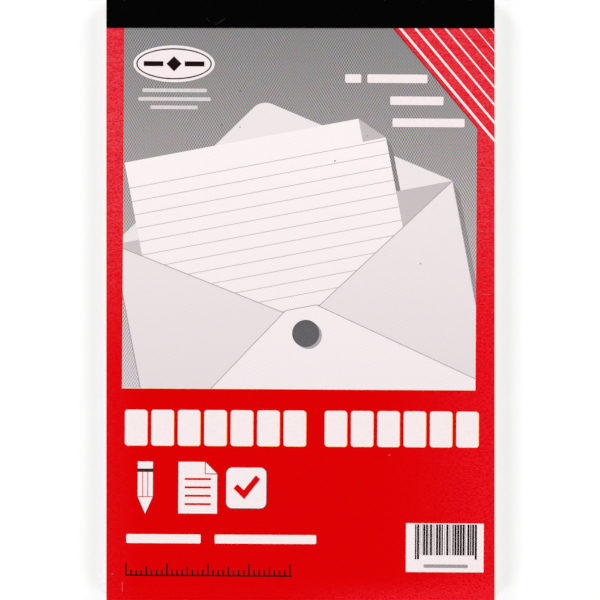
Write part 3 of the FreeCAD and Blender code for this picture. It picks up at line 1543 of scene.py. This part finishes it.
@dataclass
class SheetBlock:
    """A hundred trimmed writing sheets, glued at the head, with the first one's ruling."""

    pad: PadFrame
    leaves: int = 100
    creep: float = 0.055 * MM
    sink: float = 0.03 * MM
    seed: int = 11
    large_face: float = 0.01
    head_margin: float = 24.0 * MM
    line_pitch: float = 7.1 * MM
    line_width: float = 0.28 * MM
    margin_across: float = 32.0 * MM
    margin_gap: float = 1.6 * MM
    foot_margin: float = 9.0 * MM
    under_tape: float = 2.0 * MM
    ink_root: float = 0.01 * MM

    @property
    def top(self) -> float:
        """Height of the first sheet's face."""
        return self.pad.block_top - self.sink

    def build(self) -> None:
        """Pile the sheets up in one solid, and rule the first."""
        pad = self.pad
        dice = random.Random(self.seed)
        bm = bmesh.new()
        rings = []
        for leaf in range(self.leaves):
            left, right, foot = (dice.uniform(0.0, self.creep) for _ in range(3))
            corners = box_outline(pad.left + left, pad.foot + foot, pad.right - right, pad.page_head)
            for part in (leaf, leaf + 1):
                z = pad.board_top + (self.top - pad.board_top) * part / self.leaves
                rings.append([bm.verts.new((x, y, z)) for x, y in corners])
        for lower, upper in zip(rings, rings[1:]):
            for corner in range(4):
                after = (corner + 1) % 4
                bm.faces.new((lower[corner], lower[after], upper[after], upper[corner]))
        bm.faces.new(rings[0])
        bm.faces.new(rings[-1])
        block = closed_object(bm, "writing_sheets", SHEET_EDGES)
        block.data.materials.append(WRITING_PAPER.material())
        for face in block.data.polygons:
            face.material_index = int(abs(face.normal.z) > 0.5 and face.area > self.large_face)
        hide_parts("sheet_block")
        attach(block, PAD_BODY)
        self.rule_lines()

    def rule_lines(self) -> None:
        """Rule the first sheet: level lines, and a double line at its left margin."""
        pad = self.pad
        edge = self.creep + 0.02 * MM
        level = []
        y = pad.head_face - self.head_margin
        while y > pad.foot + self.foot_margin:
            level.append(box_outline(pad.left + edge, y, pad.right - edge, y + self.line_width))
            y -= self.line_pitch
        self.rule("ruled_lines", level, RULING_BLUE, 0.004 * MM)
        upright = []
        for step in range(2):
            x = pad.left + self.margin_across + step * self.margin_gap
            head = pad.tape_edge + self.under_tape
            upright.append(box_outline(x, pad.foot + edge, x + self.line_width, head))
        self.rule("margin_lines", upright, MARGIN_RED, 0.008 * MM)

    def rule(self, name: str, boxes: Iterable[Outline], finish: Finish, high: float) -> None:
        """Draw lines on the first sheet.

        Args:
            name: the piece's name.
            boxes: outline of each line, in metres.
            finish: its ink.
            high: height of the ink over the paper.
        """
        bm = bmesh.new()
        for corners in boxes:
            add_face(bm, corners, self.top - self.ink_root)
        rise(bm, high + self.ink_root)
        lines = closed_object(bm, name, finish)
        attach(lines, PAD_BODY)


@dataclass
class Binding:
    """The tape over the head, the glue under it and the chipboard back."""

    pad: PadFrame
    edge_round: float = 0.05 * MM
    lean: Span = (-0.08 * MM, 0.05 * MM)
    front_reach: float = 5.0 * MM
    corner_segments: int = 6
    scuff_root: float = 0.01 * MM
    scuff_height: float = 0.018 * MM

    def build(self) -> None:
        """Make the three pieces."""
        self.build_tape()
        self.build_glue()
        self.build_board()

    def sweep(
        self, name: str, section: Sequence[Point], rounded: dict[int, float], finish: Finish
    ) -> bpy.types.Object:
        """Draw a side section and stretch it across the page.

        Args:
            name: the piece's name.
            section: Y and Z of its corners, in metres.
            rounded: corner number to the radius that rounds it.
            finish: the piece's surface.

        Returns:
            The piece.
        """
        bm = bmesh.new()
        verts = [bm.verts.new((self.pad.left, y, z)) for y, z in section]
        bm.faces.new(verts)
        for corner, radius in sorted(rounded.items()):
            round_corners(bm, [verts[corner]], radius, self.corner_segments)
        extrude(bm, (self.pad.right - self.pad.left, 0.0, 0.0))
        return closed_object(bm, name, finish)

    def build_tape(self) -> None:
        """Fold the tape round the head."""
        pad = self.pad
        thick = pad.tape_thickness
        section = (
            (pad.tape_back_edge, 0.0),
            (pad.head_face, 0.0),
            (pad.head_face, pad.tape_top),
            (pad.tape_edge, pad.tape_top),
            (pad.tape_edge, pad.cover_top),
            (pad.head_inside, pad.cover_top),
            (pad.head_inside, thick),
            (pad.tape_back_edge, thick),
        )
        rounded = {0: self.edge_round, 1: thick, 2: thick, 3: self.edge_round}
        tape = self.sweep("paper_tape", section, rounded, TAPE_PAPER)
        for vert in tape.data.vertices:
            on_front = vert.co.y < pad.head_face - self.front_reach and vert.co.z > pad.block_top
            if on_front:
                vert.co.y -= self.lean[vert.co.x > 0]
        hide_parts("binding_tape")
        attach(tape, PAD_BODY)
        self.scuff_tape()

    def scuff_tape(self) -> None:
        """Lay the few lifted fibres on the tape's face, where the photograph shows a scuff."""
        pad = self.pad
        marks = (
            ((41.6, 10.0), (45.3, 7.5), 0.55),
            ((38.4, 7.3), (39.6, 8.8), 0.4),
            ((41.4, 8.9), (42.6, 9.9), 0.5),
            ((121.1, 1.0), (121.5, 1.3), 0.35),
        )
        bm = bmesh.new()
        for start, end, width in marks:
            outline = stroke(start, end, width)
            corners = [(pad.left + x * MM, pad.head_face - y * MM) for x, y in outline]
            add_face(bm, corners, pad.tape_top - self.scuff_root)
        rise(bm, self.scuff_height)
        scuff = closed_object(bm, "tape_scuff", TAPE_SCUFF)
        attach(scuff, PAD_BODY)

    def build_glue(self) -> None:
        """Brush the padding glue on the sheets' head edge."""
        pad = self.pad
        section = box_outline(pad.page_head, pad.tape_thickness, pad.head_inside, pad.cover_top)
        glue = self.sweep("padding_glue", section, {}, PADDING_GLUE)
        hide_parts("glue_film")
        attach(glue, PAD_BODY)

    def build_board(self) -> None:
        """Cut the chipboard back, with the step where the tape is pressed in."""
        pad = self.pad
        section = (
            (pad.foot, pad.board_bottom),
            (pad.tape_back_edge, pad.board_bottom),
            (pad.tape_back_edge, pad.tape_thickness),
            (pad.page_head, pad.tape_thickness),
            (pad.page_head, pad.board_top),
            (pad.foot, pad.board_top),
        )
        rounded = {0: self.edge_round, 5: self.edge_round}
        board = self.sweep("chipboard_back", section, rounded, CHIPBOARD)
        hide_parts("backing_board")
        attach(board, PAD_BODY)


@dataclass
class Studio:
    """White floor, soft lights all round and the camera straight above, as on a scanner's glass."""

    pad: PadFrame
    lens: float = 200.0
    sensor: float = 36.0
    shown_height: float = 229.45 * MM
    aside: float = -0.19 * MM
    lamp_power: float = 31.2
    lamp_size: float = 1.3
    lamp_away: float = 1.6
    lamp_high: float = 1.5
    room_light: Span = (0.75, 0.02)
    room_heights: Span = (0.1, 0.65)
    floor_size: float = 6.0
    floor_gap: float = 0.02 * MM
    floor_glow: float = 0.52
    floor_fade: Span = (0.45, 0.9)

    def build(self) -> None:
        """Set up world, floor, lights and camera."""
        bpy.context.scene.view_settings.view_transform = "Standard"
        self.light_world()
        self.lay_floor()
        self.hang_lamps()
        self.place_camera()

    def light_world(self) -> None:
        """White to the camera. To the pad, a room that is bright round about and dark overhead."""
        world = bpy.data.worlds.new("studio_world")
        world.use_nodes = True
        bpy.context.scene.world = world
        tree = world.node_tree
        tree.nodes.clear()
        seen = add_node(tree, "ShaderNodeLightPath").outputs["Is Camera Ray"]
        white = add_node(tree, "ShaderNodeBackground", {"Color": WHITE, "Strength": 1.0})
        place = add_node(tree, "ShaderNodeTexCoord").outputs["Generated"]
        height = add_node(tree, "ShaderNodeSeparateXYZ", {0: place}).outputs["Z"]
        light = add_node(
            tree,
            "ShaderNodeMapRange",
            {
                "Value": height,
                "From Min": self.room_heights[0],
                "From Max": self.room_heights[1],
                "To Min": self.room_light[0],
                "To Max": self.room_light[1],
            },
        )
        dim = {"Color": WHITE, "Strength": light.outputs[0]}
        room = add_node(tree, "ShaderNodeBackground", dim)
        choice = {0: seen, 1: room.outputs[0], 2: white.outputs[0]}
        whole = add_node(tree, "ShaderNodeMixShader", choice)
        add_node(tree, "ShaderNodeOutputWorld", {"Surface": whole.outputs[0]})

    def floor_paper(self) -> bpy.types.Material:
        """Pale matt floor that glows a little to the camera, and is plain white far away.

        Returns:
            The floor's material.
        """
        paper = bpy.data.materials.new("studio_floor_paper")
        paper.use_nodes = True
        tree = paper.node_tree
        tree.nodes.clear()
        seen = add_node(tree, "ShaderNodeLightPath").outputs["Is Camera Ray"]
        matt = add_node(tree, "ShaderNodeBsdfDiffuse", {"Color": (0.5, 0.5, 0.5, 1.0)})
        shown_glow = {0: seen, 1: self.floor_glow}
        glow_share = add_node(tree, "ShaderNodeMath", shown_glow, operation="MULTIPLY")
        glow = add_node(tree, "ShaderNodeEmission", {"Strength": glow_share.outputs[0]})
        near = add_node(tree, "ShaderNodeAddShader", {0: matt.outputs[0], 1: glow.outputs[0]})
        # Past the object's shadow the lamps fade, so there the floor is plain white
        place = add_node(tree, "ShaderNodeTexCoord").outputs["Object"]
        away = add_node(tree, "ShaderNodeVectorMath", {0: place}, operation="LENGTH")
        far = add_node(
            tree,
            "ShaderNodeMapRange",
            {
                "Value": away.outputs["Value"],
                "From Min": self.floor_fade[0],
                "From Max": self.floor_fade[1],
            },
            interpolation_type="SMOOTHSTEP",
        )
        white = add_node(tree, "ShaderNodeEmission", {"Strength": 1.0})
        seen_far = {0: far.outputs[0], 1: seen}
        share = add_node(tree, "ShaderNodeMath", seen_far, operation="MULTIPLY")
        choice = {0: share.outputs[0], 1: near.outputs[0], 2: white.outputs[0]}
        whole = add_node(tree, "ShaderNodeMixShader", choice)
        add_node(tree, "ShaderNodeOutputMaterial", {"Surface": whole.outputs[0]})
        return paper

    def lay_floor(self) -> None:
        """A wide pale floor, a hair's breadth under the pad."""
        bm = bmesh.new()
        bmesh.ops.create_grid(bm, x_segments=1, y_segments=1, size=self.floor_size)
        bmesh.ops.translate(bm, verts=bm.verts[:], vec=(0.0, 0.0, -self.floor_gap))
        floor = mesh_object(bm, "studio_floor", self.floor_paper())

    def hang_lamps(self) -> None:
        """Four wide soft lamps, the two at the head a little brighter than those at the foot."""
        shares = {(-1, 1): 1.15, (1, 1): 1.05, (-1, -1): 0.95, (1, -1): 0.85}
        for (side, end), share in shares.items():
            lamp = bpy.data.lights.new("studio_lamp", "AREA")
            lamp.shape = "DISK"
            lamp.size = self.lamp_size
            lamp.energy = self.lamp_power * share
            holder = in_scene("studio_lamp", lamp)
            holder.location = (side * self.lamp_away, end * self.lamp_away, self.lamp_high)
            down = -Vector(holder.location)
            holder.rotation_euler = down.to_track_quat("-Z", "Y").to_euler()
            holder.visible_camera = False
            holder.visible_glossy = False

    def place_camera(self) -> None:
        """Look straight down, with the pad as high as the picture."""
        lens = bpy.data.cameras.new("camera")
        lens.lens = self.lens
        lens.sensor_width = self.sensor
        distance = self.shown_height * self.lens / self.sensor
        camera = in_scene("camera", lens)
        camera.location = (self.aside, 0.0, self.pad.cover_top + distance)
        bpy.context.scene.camera = camera


def main() -> None:
    """Build the pad's pieces, then the studio."""
    logging.basicConfig(level=logging.INFO, format="%(name)s: %(message)s")
    pad = PadFrame.read()
    press = PrintPress(pad, Fold(pad))
    CoverSheet(pad, press).build()
    GreyPanel(press).build()
    EnvelopePicture(press).build()
    PlainMarks(press).build()
    CoverWear(press).build()
    SheetBlock(pad).build()
    Binding(pad).build()
    Studio(pad).build()


if __name__ == "__main__":
    main()
